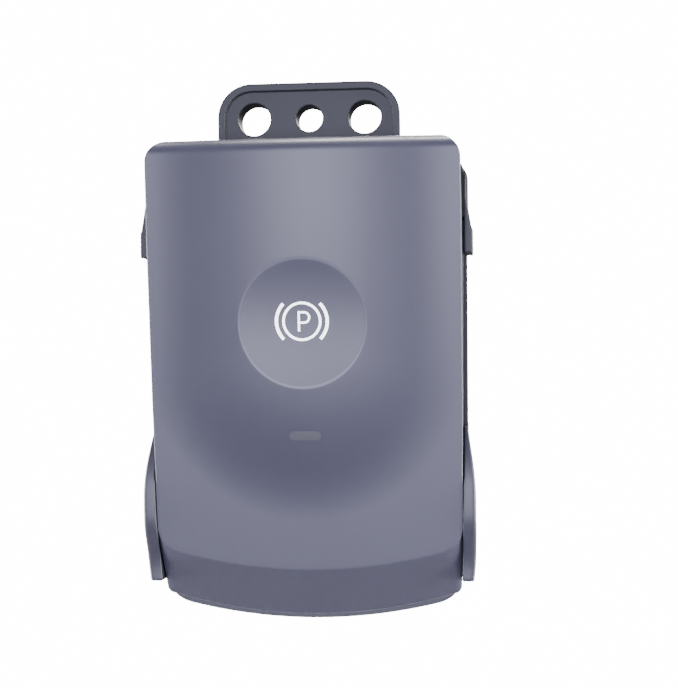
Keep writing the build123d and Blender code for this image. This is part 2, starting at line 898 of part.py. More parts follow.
def switch_plunger(place):
    """Round plunger with a domed tip towards the paddle."""
    x, z = place
    axis_plane = Plane(origin=(x, floor_front - plunger_tip, z), x_dir=(1, 0, 0), z_dir=(0, 0, -1))
    with BuildPart() as plunger:
        with BuildSketch(axis_plane):
            with BuildLine():
                Polyline((0, -plunger_radius), (0, -plunger_length), (plunger_radius, -plunger_length))
                Line((plunger_radius, -plunger_length), (plunger_radius, -plunger_radius))
                RadiusArc((plunger_radius, -plunger_radius), (0, 0), -plunger_radius)
                Line((0, 0), (0, -plunger_radius))
            make_face()
        revolve(axis=Axis(axis_plane.origin, (0, 1, 0)))
    return plunger


push_switch = switch_body(switch_places[0])
pull_switch = switch_body(switch_places[1])
push_plunger = switch_plunger(switch_places[0])
pull_plunger = switch_plunger(switch_places[1])


# Lamps, chip and resistors on the board
def led(place):
    """Square lamp body with a round lens."""
    with BuildPart() as lamp:
        with BuildSketch(wall_plane(board_front)):
            with Locations(place):
                Rectangle(led_size, led_size)
        extrude(amount=led_height)
        with BuildSketch(wall_plane(board_front - led_height)):
            with Locations(place):
                Circle(led_dome_radius)
        extrude(amount=led_dome_height)
    return lamp


symbol_led = led(led_places[0])
window_led = led(led_places[1])

with BuildPart() as control_chip:
    with BuildSketch(wall_plane(board_front)):
        with Locations((chip_x, chip_z)):
            Rectangle(chip_size, chip_size)
    extrude(amount=chip_height)
    chamfer(control_chip.faces().sort_by(Axis.Y)[0].edges(), chip_chamfer)

with BuildPart() as resistors:
    with BuildSketch(wall_plane(board_front)):
        with Locations((-chip_x, chip_z)):
            with GridLocations(resistor_pitch_x, resistor_pitch_z, resistor_columns, resistor_rows):
                Rectangle(resistor_length, resistor_width)
    extrude(amount=resistor_height)


# Rubber stops with domed tips, pressed on the posts of the tub
stop_dome_radius = (stop_radius**2 + stop_dome**2) / (2 * stop_dome)


def rubber_stops(places, tip_y):
    """Pair of buffers at the given places."""
    with BuildPart() as buffers:
        for x, z in places:
            axis_plane = Plane(origin=(x, tip_y, z), x_dir=(1, 0, 0), z_dir=(0, 0, -1))
            with BuildSketch(axis_plane):
                with BuildLine():
                    Polyline(
                        (0, 0),
                        (0, -stop_thickness),
                        (stop_radius, -stop_thickness),
                        (stop_radius, -stop_dome),
                    )
                    RadiusArc((stop_radius, -stop_dome), (0, 0), -stop_dome_radius)
                make_face()
            revolve(axis=Axis(axis_plane.origin, (0, 1, 0)))
    return buffers


push_stops = rubber_stops(push_stop_places, push_stop_y)
pull_stops = rubber_stops(pull_stop_places, pull_stop_y)


# Centring springs: a coil round the pin with one leg on the floor and one towards the paddle
floor_leg = floor_front - hinge_y - side_gap
paddle_leg = flange_back * cos(lean) - spring_radius * sin(radians(pull_angle)) - 2 * side_gap


def centring_spring(side):
    """Torsion spring on one side of the pin."""
    start = (side * spring_start, hinge_y, hinge_z)
    coil = Helix(spring_pitch, spring_turns * spring_pitch, spring_radius, start, (side, 0, 0))
    with BuildPart() as spring:
        with BuildSketch(Plane(origin=coil @ 0, z_dir=coil % 0)):
            Circle(spring_wire / 2)
        sweep(path=coil, is_frenet=True)
        with BuildSketch(Plane(origin=coil @ 0, z_dir=coil % 0)):
            Circle(spring_wire / 2)
        extrude(amount=-floor_leg)
        with BuildSketch(Plane(origin=coil @ 1, z_dir=coil % 1)):
            Circle(spring_wire / 2)
        extrude(amount=paddle_leg)
    return spring


left_spring = centring_spring(-1)
right_spring = centring_spring(1)


pieces = {
    "paddle_cover": paddle_cover,
    "paddle_back": paddle_back,
    "symbol_light_guide": symbol_light_guide,
    "window_light_guide": window_light_guide,
    "paddle_screws": paddle_screws,
    "hinge_pin": hinge_pin,
    "left_bush": left_bush,
    "right_bush": right_bush,
    "housing": housing,
    "rear_cover": rear_cover,
    "cover_screws": cover_screws,
    "circuit_board": circuit_board,
    "socket_terminals": socket_terminals,
    "push_switch": push_switch,
    "pull_switch": pull_switch,
    "push_plunger": push_plunger,
    "pull_plunger": pull_plunger,
    "symbol_led": symbol_led,
    "window_led": window_led,
    "control_chip": control_chip,
    "resistors": resistors,
    "push_stops": push_stops,
    "pull_stops": pull_stops,
    "left_spring": left_spring,
    "right_spring": right_spring,
}

for name, piece in pieces.items():
    piece.part.label = name
    export_step(piece.part, f"parts/{name}.step")
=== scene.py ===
import math

import bmesh
import bpy
from mathutils import Matrix, Vector


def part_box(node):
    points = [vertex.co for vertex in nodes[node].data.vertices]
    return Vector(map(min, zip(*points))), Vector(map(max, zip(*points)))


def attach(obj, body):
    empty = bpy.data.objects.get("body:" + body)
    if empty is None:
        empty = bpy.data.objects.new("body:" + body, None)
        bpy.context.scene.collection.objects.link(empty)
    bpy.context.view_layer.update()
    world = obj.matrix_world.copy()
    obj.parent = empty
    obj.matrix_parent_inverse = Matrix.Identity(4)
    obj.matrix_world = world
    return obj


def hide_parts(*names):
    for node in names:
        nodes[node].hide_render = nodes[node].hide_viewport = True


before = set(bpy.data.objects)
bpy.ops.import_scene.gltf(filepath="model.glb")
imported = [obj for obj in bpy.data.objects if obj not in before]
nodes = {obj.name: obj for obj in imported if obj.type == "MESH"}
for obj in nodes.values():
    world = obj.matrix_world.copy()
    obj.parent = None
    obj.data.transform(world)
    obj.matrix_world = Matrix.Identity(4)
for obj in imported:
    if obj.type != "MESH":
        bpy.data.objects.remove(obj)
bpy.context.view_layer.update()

# Camera: a short telephoto a little to the right of the switch and level with the middle of
# the paddle, so that the outer faces of the right hook and cheek show and the left ones hide.
millimetre = 0.001
frame_width = 678
focal_pixels = 1690.0
camera_place = Vector((34.2, -283.7, -41.7)) * millimetre
camera_turn = math.radians(6.07)
camera_rise = math.radians(0.83)
camera_roll = math.radians(-0.62)

sight = Vector((-math.sin(camera_turn), math.cos(camera_turn), math.tan(camera_rise))).normalized()
camera_data = bpy.data.cameras.new("camera")
camera_data.sensor_fit = "HORIZONTAL"
camera_data.sensor_width = 36.0
camera_data.lens = focal_pixels * camera_data.sensor_width / frame_width
camera_data.clip_start = 0.01
camera = bpy.data.objects.new("camera", camera_data)
bpy.context.scene.collection.objects.link(camera)
camera.matrix_world = (
    Matrix.Translation(camera_place)
    @ sight.to_track_quat("-Z", "Y").to_matrix().to_4x4()
    @ Matrix.Rotation(camera_roll, 4, "Z")
)
bpy.context.scene.camera = camera


# Studio: a pale matt paper table well below the switch, in a white room. A broad cool panel
# stands behind the camera and makes the satin sheen; weak lights from the sides, from behind and
# from above draw the edges. The room looks white but lights softly, so sloping faces stay dark.
def linear(code):
    """Linear RGBA of an sRGB hex colour."""
    channels = [int(code[start:start + 2], 16) / 255 for start in (1, 3, 5)]
    return [c / 12.92 if c <= 0.04045 else ((c + 0.055) / 1.055) ** 2.4 for c in channels] + [1.0]


def add_node(tree, kind, inputs=None, **properties):
    """One node with its properties, and a value or another node's output for each input."""
    made = tree.nodes.new(kind)
    for name, value in properties.items():
        setattr(made, name, value)
    for name, value in (inputs or {}).items():
        if isinstance(value, bpy.types.NodeSocket):
            tree.links.new(value, made.inputs[name])
        else:
            made.inputs[name].default_value = value
    return made


table_level, table_half_width, table_near, table_far = -0.25, 2.0, -2.0, 0.79
table_mesh = bpy.data.meshes.new("table")
table_mesh.from_pydata([
    (-table_half_width, table_near, table_level), (table_half_width, table_near, table_level),
    (table_half_width, table_far, table_level), (-table_half_width, table_far, table_level),
], [], [(0, 1, 2, 3)])
table = bpy.data.objects.new("table", table_mesh)
bpy.context.scene.collection.objects.link(table)

paper = bpy.data.materials.new("matt_white_paper")
paper.use_nodes = True
paper.node_tree.nodes.clear()
paper_place = add_node(paper.node_tree, "ShaderNodeTexCoord").outputs["Object"]
# Paper fibres are far finer than a pixel here, so only the sheet's soft clouds are drawn
fibres = add_node(paper.node_tree, "ShaderNodeTexNoise", {"Vector": paper_place, "Scale": 12.0})
paper_rough = add_node(paper.node_tree, "ShaderNodeMapRange", {
    "Value": fibres.outputs[0], "To Min": 0.85, "To Max": 0.95,
})
paper_shader = add_node(paper.node_tree, "ShaderNodeBsdfPrincipled", {
    "Base Color": linear("#c8c8ca"), "Roughness": paper_rough.outputs[0],
})
add_node(paper.node_tree, "ShaderNodeOutputMaterial", {"Surface": paper_shader.outputs[0]})
table_mesh.materials.append(paper)

room = bpy.data.worlds.new("white_room")
room.use_nodes = True
room_tree = room.node_tree
room_tree.nodes.clear()
room_light = add_node(room_tree, "ShaderNodeBackground", {
    "Color": linear("#f0f2ff"), "Strength": 0.13,
})
room_wall = add_node(room_tree, "ShaderNodeBackground", {
    "Color": linear("#fdfdff"), "Strength": 16.0,
})
seen = add_node(room_tree, "ShaderNodeLightPath").outputs["Is Camera Ray"]
room_mix = add_node(room_tree, "ShaderNodeMixShader", {
    0: seen, 1: room_light.outputs[0], 2: room_wall.outputs[0],
})
add_node(room_tree, "ShaderNodeOutputWorld", {"Surface": room_mix.outputs[0]})
bpy.context.scene.world = room

# name, place, aim, width, height, power, spread in degrees, colour
studio_lights = (
    ("panel", (-0.05, -0.80, -0.02), (0.0, 0.0, -0.04), 0.45, 0.40, 1.75, 70, (0.90, 0.91, 1.13)),
    ("left_side", (-0.5, 0.02, -0.05), (0.0, 0.0, -0.05), 0.3, 0.4, 1.6, 50, (1.0, 1.0, 1.0)),
    ("right_side", (0.5, -0.04, -0.05), (0.0, 0.0, -0.05), 0.3, 0.4, 1.6, 50, (1.0, 1.0, 1.0)),
    ("back_panel", (0.1, 0.75, 0.35), (0.0, 0.0, -0.04), 0.5, 0.4, 1.6, 60, (1.0, 1.0, 1.0)),
    ("top", (0.0, 0.06, 0.5), (0.0, 0.02, 0.0), 0.2, 0.1, 0.25, 30, (1.0, 1.0, 1.0)),
)
for name, place, aim, width, height, power, spread, colour in studio_lights:
    light_data = bpy.data.lights.new(name, "AREA")
    light_data.shape = "RECTANGLE"
    light_data.size = width
    light_data.size_y = height
    light_data.energy = power
    light_data.spread = math.radians(spread)
    light_data.color = colour
    light = bpy.data.objects.new(name, light_data)
    light.location = place
    light.rotation_euler = (Vector(aim) - Vector(place)).to_track_quat("-Z", "Y").to_euler()
    bpy.context.scene.collection.objects.link(light)


# Paddle cover: polycarbonate, moulded clear, sprayed with dark grey soft paint and screwed to
# the back plate. The paint gives a satin sheen and a very fine even grain; its thin edges get a
# painted highlight. The copy of the CAD cover draws in towards its foot and has no wall round
# its dimple.
def moulded_plastic(name, low, high, roughness, grain_mm, grain_height_mm, edge_mm=0.25,
                    highlight_code=None, painted_glow=0.0):
    """Opaque plastic: colour clouds, fine grain, painted edge highlight, optional painted glow."""
    cloud_mm, rough_spread, highlight_start, highlight_full, highlight_share = 9.0, 0.04, 0.97, 0.80, 0.9
    made = bpy.data.materials.new(name)
    made.use_nodes = True
    tree = made.node_tree
    tree.nodes.clear()
    place = add_node(tree, "ShaderNodeTexCoord").outputs["Object"]
    clouds = add_node(tree, "ShaderNodeTexNoise", {
        "Vector": place, "Scale": 1 / (cloud_mm * millimetre), "Detail": 2.0,
    })
    colour = add_node(tree, "ShaderNodeMix", {
        0: clouds.outputs[0], 6: linear(low), 7: linear(high),
    }, data_type="RGBA")
    grain = add_node(tree, "ShaderNodeTexNoise", {
        "Vector": place, "Scale": 1 / (grain_mm * millimetre), "Detail": 3.0, "Roughness": 0.6,
    })
    edge = add_node(tree, "ShaderNodeBevel", {"Radius": edge_mm * millimetre}, samples=6)
    bump = add_node(tree, "ShaderNodeBump", {
        "Height": grain.outputs[0], "Normal": edge.outputs[0], "Strength": 1.0,
        "Distance": grain_height_mm * millimetre,
    })
    rough = add_node(tree, "ShaderNodeMapRange", {
        "Value": grain.outputs[0],
        "To Min": roughness - rough_spread, "To Max": roughness + rough_spread,
    })
    # Painted highlight: the colour lightens on round edges, where the bevel normal turns
    flat = add_node(tree, "ShaderNodeNewGeometry").outputs["Normal"]
    turn = add_node(tree, "ShaderNodeVectorMath", {
        0: flat, 1: edge.outputs[0],
    }, operation="DOT_PRODUCT")
    edge_highlight = add_node(tree, "ShaderNodeMapRange", {
        "Value": turn.outputs["Value"],
        "From Min": highlight_start, "From Max": highlight_full, "To Max": highlight_share,
    })
    highlighted_colour = add_node(tree, "ShaderNodeMix", {
        0: edge_highlight.outputs[0], 6: colour.outputs[2], 7: linear(highlight_code or high),
    }, data_type="RGBA")
    shader = add_node(tree, "ShaderNodeBsdfPrincipled", {
        "Base Color": highlighted_colour.outputs[2], "Roughness": rough.outputs[0],
        "Normal": bump.outputs[0], "Emission Color": linear(high), "Emission Strength": painted_glow,
    })
    add_node(tree, "ShaderNodeOutputMaterial", {"Surface": shader.outputs[0]})
    return made


paddle_lean = math.radians(5.7)
hinge = Vector((0.0, -1.0, -63.8))
paddle_up = Vector((0.0, -math.sin(paddle_lean), math.cos(paddle_lean)))
paddle_out = Vector((0.0, -math.cos(paddle_lean), -math.sin(paddle_lean)))


def on_paddle(x, height, level):
    """Place in metres of a point of the paddle, from its width, height and level."""
    return (hinge + Vector((x, 0.0, 0.0)) + paddle_up * height + paddle_out * level) * millimetre


# The CAD paddle's sides are straight and slightly tapered; the drawn-in ones are shallow arcs
cad_half_width, cad_top, cad_taper = 25.5, 60.2, math.tan(math.radians(0.35))
widest_height, widest_inset, upper_bow, lower_bow = 34.0, 0.02, 3900.0, 2250.0


def cad_side_width(height):
    """Half the CAD paddle's width at a height."""
    return cad_half_width - (cad_top - height) * cad_taper


def side_width(height):
    """Half the paddle's width at a height: widest in the middle and drawn in at its foot."""
    bow = upper_bow if height > widest_height else lower_bow
    arc_width = cad_half_width - widest_inset - (height - widest_height) ** 2 / bow
    return min(arc_width, cad_side_width(height))


def drawn_in(point):
    """Paddle point in millimetres, moved sideways to the drawn-in outline."""
    height = (point - hinge).dot(paddle_up)
    return Vector((point.x * side_width(height) / cad_side_width(height), point.y, point.z))


merge_distance, smooth_angle = 1e-7, math.radians(17.0)


def merged_copy(source):
    """Joined-up copy of a CAD node's mesh."""
    work = bmesh.new()
    work.from_mesh(nodes[source].data)
    bmesh.ops.remove_doubles(work, verts=work.verts, dist=merge_distance)
    return work


def finished_copy(work, name, material, body, source):
    bmesh.ops.triangulate(work, faces=[face for face in work.faces if len(face.verts) > 3])
    for face in work.faces:
        face.smooth = True
    for edge in work.edges:
        one_finish = len({face.material_index for face in edge.link_faces}) == 1
        runs_on = edge.is_manifold and edge.calc_face_angle(math.pi) < smooth_angle
        edge.smooth = one_finish and runs_on
    mesh = bpy.data.meshes.new(name)
    work.to_mesh(mesh)
    work.free()
    mesh.materials.append(material)
    piece = bpy.data.objects.new(name, mesh)
    bpy.context.scene.collection.objects.link(piece)
    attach(piece, body)
    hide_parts(source)
    return piece


face_level, tongue_rise, tongue_half_width, tongue_flare, tongue_end = 10.6, 3.2, 17.0, 9.0, 24.6
crown_angle = 2 * math.atan(tongue_rise / (tongue_half_width + tongue_flare))
crown_radius = tongue_half_width / math.sin(crown_angle)
dimple_height, rim_radius, rim_step = 30.9, 10.14, 0.06
dish_floor, dish_power, dish_rings = 12.7, 2.0, 10


def crown_level(x, height):
    """Level of the tongue's crowned face at a place."""
    reach = math.hypot(x, min(height - tongue_end, 0.0))
    return face_level + tongue_rise - crown_radius + math.sqrt(crown_radius ** 2 - reach ** 2)


def dish_level(x, height):
    """Level of the dimple's dish at a place: its rim stands just under the crown all round."""
    reach = max(math.hypot(x, height - dimple_height), merge_distance)
    out = rim_radius / reach
    rim = crown_level(x * out, dimple_height + (height - dimple_height) * out) - rim_step
    return dish_floor + (rim - dish_floor) * (reach / rim_radius) ** dish_power


# The paint's grain is about 0.03 mm; it is drawn at 0.12 mm, or no pixel would show it
# Its light grey edge colour is a painted highlight on the cover's thin edges
soft_paint = moulded_plastic(
    "satin_soft_paint", "#343341", "#373644", 0.43, 0.12, 0.004, edge_mm=0.45, highlight_code="#8a8892",
)
cad_dish_radius, cad_dish_floor, cad_dish_depth = 10.3, 12.05, 0.9
rim_tolerance, wall_tolerance, level_tolerance = 0.05, 0.02, 0.04
cover_mesh = merged_copy("paddle_cover")
dish_inside, dish_rim = [], []
for point in cover_mesh.verts:
    place = point.co / millimetre - hinge
    height, level = place.dot(paddle_up), place.dot(paddle_out)
    reach = math.hypot(place.x, height - dimple_height)
    cad_dish = cad_dish_floor + cad_dish_depth * (reach / cad_dish_radius) ** 2
    if reach < cad_dish_radius + wall_tolerance and abs(level - cad_dish) < level_tolerance:
        if reach > cad_dish_radius - rim_tolerance:
            dish_rim.append((math.atan2(height - dimple_height, place.x), point))
        else:
            dish_inside.append(point)
    point.co = drawn_in(point.co / millimetre) * millimetre
bmesh.ops.delete(cover_mesh, geom=dish_inside, context="VERTS")
dish_rim.sort(key=lambda item: item[0])
ring = [point for _, point in dish_rim]
# Faces round the dimple's rim, which get the painted rim highlight
rim_highlight_faces = {face for point in ring for face in point.link_faces}
for step in range(dish_rings):
    radius = rim_radius * (1 - step / dish_rings)
    places = []
    for angle, _ in dish_rim:
        x, height = radius * math.cos(angle), dimple_height + radius * math.sin(angle)
        places.append(on_paddle(x, height, dish_level(x, height)))
    if step == 0:
        for point, place in zip(ring, places):
            point.co = place
        continue
    inner = [cover_mesh.verts.new(place) for place in places]
    for i in range(len(ring)):
        k = (i + 1) % len(ring)
        cover_mesh.faces.new((ring[i], ring[k], inner[k], inner[i]))
    ring = inner
cover_mesh.faces.new(ring)
bmesh.ops.recalc_face_normals(cover_mesh, faces=cover_mesh.faces)
for face in rim_highlight_faces:
    face.material_index = 1
cover = finished_copy(
    cover_mesh, "painted_cover", soft_paint, "paddle", "paddle_cover",
)
# Lighter paint on the faces round the dimple's rim paints the rim's highlight; it is a little
# smoother
cover.data.materials.append(
    moulded_plastic("rim_highlight_paint", "#454452", "#484755", 0.42, 0.12, 0.002, edge_mm=0.1)
)


# Brake symbol: the standard sign, cut free of paint with a laser, so that the milky layer under
# it shows white. It is a thin inlay of milky polycarbonate that follows the dimple's dish, with a
# painted glow that stands in for the light the milky layer gathers from all sides.
def new_piece(name, points, faces, material, body):
    """Mesh piece with outward faces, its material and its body."""
    mesh = bpy.data.meshes.new(name)
    mesh.from_pydata(points, [], faces)
    mesh.materials.append(material)
    work = bmesh.new()
    work.from_mesh(mesh)
    bmesh.ops.remove_doubles(work, verts=work.verts, dist=merge_distance)
    bmesh.ops.recalc_face_normals(work, faces=work.faces)
    work.to_mesh(mesh)
    work.free()
    piece = bpy.data.objects.new(name, mesh)
    bpy.context.scene.collection.objects.link(piece)
    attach(piece, body)


symbol_x, symbol_height = -0.1, 31.1
inlay_rise, inlay_depth = 0.035, 0.03


def stroke(path, width, closed=False):
    """Top and bottom strips of a line of even width that lies on the dish."""
    count = len(path)
    points, faces = [], []
    for i, (x, v) in enumerate(path):
        before = path[(i - 1) % count] if closed or i > 0 else path[i]
        after = path[(i + 1) % count] if closed or i < count - 1 else path[i]
        along = Vector((after[0] - before[0], after[1] - before[1])).normalized()
        side = Vector((-along.y, along.x)) * width / 2
        for rise in (inlay_rise, inlay_rise - inlay_depth):
            for sign in (-1, 1):
                px, pv = symbol_x + x + sign * side.x, symbol_height + v + sign * side.y
                points.append(on_paddle(px, pv, dish_level(px, pv) + rise))
    for i in range(count if closed else count - 1):
        a, b = 4 * i, 4 * ((i + 1) % count)
        faces += [(a, a + 1, b + 1, b), (a + 2, b + 2, b + 3, a + 3)]
        faces += [(a, b, b + 2, a + 2), (a + 1, a + 3, b + 3, b + 1)]
    if not closed:
        last = 4 * (count - 1)
        faces += [(0, 2, 3, 1), (last, last + 1, last + 3, last + 2)]
    return points, faces


def arc(radius, start, end, steps, centre=(0.0, 0.0)):
    """Points of an arc between two angles in degrees."""
    angles = [math.radians(start + (end - start) * i / steps) for i in range(steps + 1)]
    return [(centre[0] + radius * math.cos(a), centre[1] + radius * math.sin(a)) for a in angles]


ring_radius, ring_stroke, ring_steps = 2.95, 0.4, 72
bracket_radius, bracket_stroke, bracket_half_angle, bracket_steps = 4.08, 0.52, 44.0, 28
stem_x, stem_top, stem_foot, letter_stroke = -0.48, 1.44, -1.62, 0.34
bowl_radius, bowl_x, bowl_steps = 0.83, 0.36, 20
right_bracket, left_bracket = (
    arc(bracket_radius, middle - bracket_half_angle, middle + bracket_half_angle, bracket_steps)
    for middle in (0, 180)
)
letter_stem = [(stem_x, stem_top + letter_stroke / 2), (stem_x, 0.0), (stem_x, stem_foot)]
letter_bowl = (
    [(stem_x, stem_top)]
    + arc(bowl_radius, 90, -90, bowl_steps, (bowl_x, stem_top - bowl_radius))
    + [(stem_x, stem_top - 2 * bowl_radius)]
)
symbol_points, symbol_faces = [], []
for path, width, closed in (
    (arc(ring_radius, 0, 360, ring_steps)[:-1], ring_stroke, True),
    (right_bracket, bracket_stroke, False), (left_bracket, bracket_stroke, False),
    (letter_stem, letter_stroke, False), (letter_bowl, letter_stroke, False),
):
    points, faces = stroke(path, width, closed)
    start = len(symbol_points)
    symbol_points += points
    symbol_faces += [tuple(start + i for i in face) for face in faces]

# Its emission is a painted glow; no lamp lights the symbol
symbol_white = moulded_plastic(
    "milky_polycarbonate", "#f4f4f8", "#fafafe", 0.35, 0.2, 0.002, edge_mm=0.02, painted_glow=3.0,
)
new_piece("brake_symbol", symbol_points, symbol_faces, symbol_white, "paddle")

# Lamp window: a small slot in the paint of the tongue, over the second light guide. It is
# smoked polycarbonate, half matt and brownish grey until it is lit, and follows the crown.
window_height, window_half_length, window_half_width = 12.7, 2.55, 0.75
window_rise, window_rings, window_end_steps = 0.05, 4, 10
window_end_x = window_half_length - window_half_width
window_rim = []
for end_x, start in ((window_end_x, -90), (-window_end_x, 90)):
    window_rim += arc(
        window_half_width, start, start + 180, window_end_steps, (end_x, window_height),
    )
window_points, window_faces = [], []
rim_count = len(window_rim)
for ring in range(window_rings):
    share = 1 - ring / window_rings
    for x, v in window_rim:
        px, pv = x * share, window_height + (v - window_height) * share
        window_points.append(on_paddle(px, pv, crown_level(px, pv) + window_rise))
for ring in range(window_rings - 1):
    for i in range(rim_count):
        j = (i + 1) % rim_count
        a, b = ring * rim_count, (ring + 1) * rim_count
        window_faces.append((a + i, a + j, b + j, b + i))
window_points.append(on_paddle(0, window_height, crown_level(0, window_height) + window_rise))
last, middle = (window_rings - 1) * rim_count, len(window_points) - 1
window_faces += [(last + i, last + (i + 1) % rim_count, middle) for i in range(rim_count)]
foot = len(window_points)
window_points += [
    on_paddle(x, v, crown_level(x, v) - inlay_depth) for x, v in window_rim
] + [on_paddle(0, window_height, crown_level(0, window_height) - inlay_depth)]
for i in range(rim_count):
    j = (i + 1) % rim_count
    window_faces += [(i, foot + i, foot + j, j), (foot + i, foot + rim_count, foot + j)]
smoked_window = moulded_plastic(
    "smoked_polycarbonate", "#3f3e44", "#434248", 0.5, 0.15, 0.002, edge_mm=0.02,
)
new_piece("lamp_window", window_points, window_faces, smoked_window, "paddle")

# Paddle back plate: moulded dark grey ABS with a fine eroded grain, screwed behind the cover.
# Its lower edge shows as the dark strip under the sloping bar, so its rim, but not its hinge
# arms, draws in with the cover.
back_edge = 23.6
# The eroded grain is about 0.08 mm and is drawn at 0.2 mm, so that it shows
back_abs = moulded_plastic("eroded_abs", "#2b2b35", "#30303a", 0.5, 0.2, 0.006)
back_mesh = merged_copy("paddle_back")
for point in back_mesh.verts:
    if abs(point.co.x) > back_edge * millimetre:
        point.co = drawn_in(point.co / millimetre) * millimetre
finished_copy(back_mesh, "back_plate", back_abs, "paddle", "paddle_back")

# Light guides: clear acrylic, moulded and polished, pressed into the back plate. They lead the
# lamps' light to the symbol and the window; clear, with only a trace of flow haze.
clear_acrylic = bpy.data.materials.new("polished_acrylic")
clear_acrylic.use_nodes = True
tree = clear_acrylic.node_tree
tree.nodes.clear()
acrylic_place = add_node(tree, "ShaderNodeTexCoord").outputs["Object"]
flow_mm = 2.5
flow = add_node(tree, "ShaderNodeTexNoise", {
    "Vector": acrylic_place, "Scale": 1 / (flow_mm * millimetre), "Detail": 1.0,
})
haze = add_node(tree, "ShaderNodeMapRange", {
    "Value": flow.outputs[0], "To Min": 0.03, "To Max": 0.09,
})
shader = add_node(tree, "ShaderNodeBsdfPrincipled", {
    "Base Color": linear("#f2f5f7"), "Roughness": haze.outputs[0], "IOR": 1.49,
    "Transmission Weight": 1.0,
})
add_node(tree, "ShaderNodeOutputMaterial", {"Surface": shader.outputs[0]})


def wear(name, material):
    """Gives a CAD node its material; its shape and place stay the CAD's."""
    mesh = nodes[name].data
    mesh.materials.clear()
    mesh.materials.append(material)


wear("symbol_light_guide", clear_acrylic)
wear("window_light_guide", clear_acrylic)


# Hinge pin: a ground steel rod, held in the housing's side walls. It is bright and even, with
# very fine wear in its gloss, drawn coarser than its real 0.1 mm so that it shows.
def bright_metal(name, low, high, roughness, streak_mm):
    """Bright metal with fine uneven wear in its gloss."""
    rough_spread = 0.08
    made = bpy.data.materials.new(name)
    made.use_nodes = True
    tree = made.node_tree
    tree.nodes.clear()
    place = add_node(tree, "ShaderNodeTexCoord").outputs["Object"]
    streaks = add_node(tree, "ShaderNodeTexNoise", {
        "Vector": place, "Scale": 1 / (streak_mm * millimetre), "Detail": 4.0,
    })
    colour = add_node(tree, "ShaderNodeMix", {
        0: streaks.outputs[0], 6: linear(low), 7: linear(high),
    }, data_type="RGBA")
    rough = add_node(tree, "ShaderNodeMapRange", {
        "Value": streaks.outputs[0],
        "To Min": roughness - rough_spread, "To Max": roughness + rough_spread,
    })
    shader = add_node(tree, "ShaderNodeBsdfPrincipled", {
        "Base Color": colour.outputs[2], "Roughness": rough.outputs[0], "Metallic": 1.0,
    })
    add_node(tree, "ShaderNodeOutputMaterial", {"Surface": shader.outputs[0]})
    return made


wear("hinge_pin", bright_metal("ground_steel", "#b9babc", "#cfcfd0", 0.22, 0.4))

# Bushes: flanged bushes of natural acetal, moulded and pressed into the paddle's arms. They are
# milky white and half glossy, and turn on the pin.
natural_acetal = moulded_plastic(
    "natural_acetal", "#dedfd8", "#e6e7e0", 0.35, 0.3, 0.003, edge_mm=0.1,
)
wear("left_bush", natural_acetal)
wear("right_bush", natural_acetal)

# Torsion springs: drawn spring wire, coiled and slid over the pin, one beside each arm. Grey
# steel with faint marks from the die.
spring_wire = bright_metal("drawn_spring_wire", "#8e8f92", "#a5a6a8", 0.3, 0.3)
wear("left_spring", spring_wire)
wear("right_spring", spring_wire)

# Housing: one moulding of dark grey ABS, with the fixing ear, the hooks and the hinge cheeks. A
# fine spark-eroded grain makes it nearly matt; the cheeks' forward faces are lighter and a little
# glossier. In the copy smooth barrel cheeks, built level by level, stand round the CAD ones and
# close to the paddle.
# A cheek's profile from its top to its foot: height, depth of its front and outer half width
cheek_heights = (-50.6, -51.2, -53.0, -55.0, -57.0, -59.0, -60.5, -62.0, -65.5, -67.0, -68.5,
                 -70.0, -71.5, -73.0, -74.5, -75.6, -76.4)
cheek_fronts = (-8.6, -9.0, -9.9, -10.8, -11.5, -12.0, -12.2, -12.25, -12.2, -12.0, -11.5,
                -10.8, -10.1, -9.65, -9.45, -9.4, -9.4)
cheek_widths = (26.0, 26.05, 26.25, 26.5, 26.75, 26.95, 27.05, 27.12, 27.14, 27.14, 27.14,
                27.14, 27.14, 27.12, 27.04, 26.9, 26.75)
cheek_top, cheek_bottom, cheek_root, cheek_back = -51.27, -76.4, -8.6, 4.05
cheek_half_width, cheek_depth, cheek_gap = 27.13, -12.0, 0.1
smoothing_reach, smoothing_steps = 1.2, 3
# The CAD cheeks, to which the finished ones fade at their back
cad_cheek_half_width, cad_cheek_front, cad_cheek_draft = 27.15, -13.2, math.tan(math.radians(4.0))
cad_cheek_bulge, cad_cheek_half_height = 0.9, 12.6


def between(z, values):
    """Value of a table at a height, straight between its heights."""
    for i in range(len(cheek_heights) - 1):
        if z >= cheek_heights[i + 1]:
            share = (cheek_heights[i] - z) / (cheek_heights[i] - cheek_heights[i + 1])
            return values[i] + (values[i + 1] - values[i]) * max(share, 0.0)
    return values[-1]


def smoothed(z, values):
    """Mean of a table round a height, so that the cheek's lines are smooth."""
    steps = range(-smoothing_steps, smoothing_steps + 1)
    near = [between(z + smoothing_reach * step / smoothing_steps, values) for step in steps]
    return sum(near) / len(near)


def cad_cheek_wall(y, z):
    """Outer half width of the CAD cheek: a barrel that narrows towards the back."""
    bulge = cad_cheek_bulge * ((z - hinge.z) / cad_cheek_half_height) ** 2
    return cad_cheek_half_width - (y - cad_cheek_front) * cad_cheek_draft - bulge


def cheek_wall(y, z):
    """Outer half width of the finished cheek: the CAD's at the back, the table's in front."""
    fade = min(max((cheek_back - y) / (cheek_back - cheek_root), 0.0), 1.0)
    more = smoothed(z, cheek_widths) - cad_cheek_wall(cheek_depth, z)
    return min(cad_cheek_wall(y, z) + more * fade, cheek_half_width)


# Shape of a level's ring: where its walls lie and how round its front corners are
inner_wall_depths = (-2.0, -5.0, -7.5)
inner_round_share, inner_round_depth = 0.12, 0.25
outer_round_share, outer_round_depth = 0.3, 0.5
round_steps, front_steps, wall_steps = 6, 4, 6
back_dip, back_inset, back_reach = 0.2, 0.2, 0.3


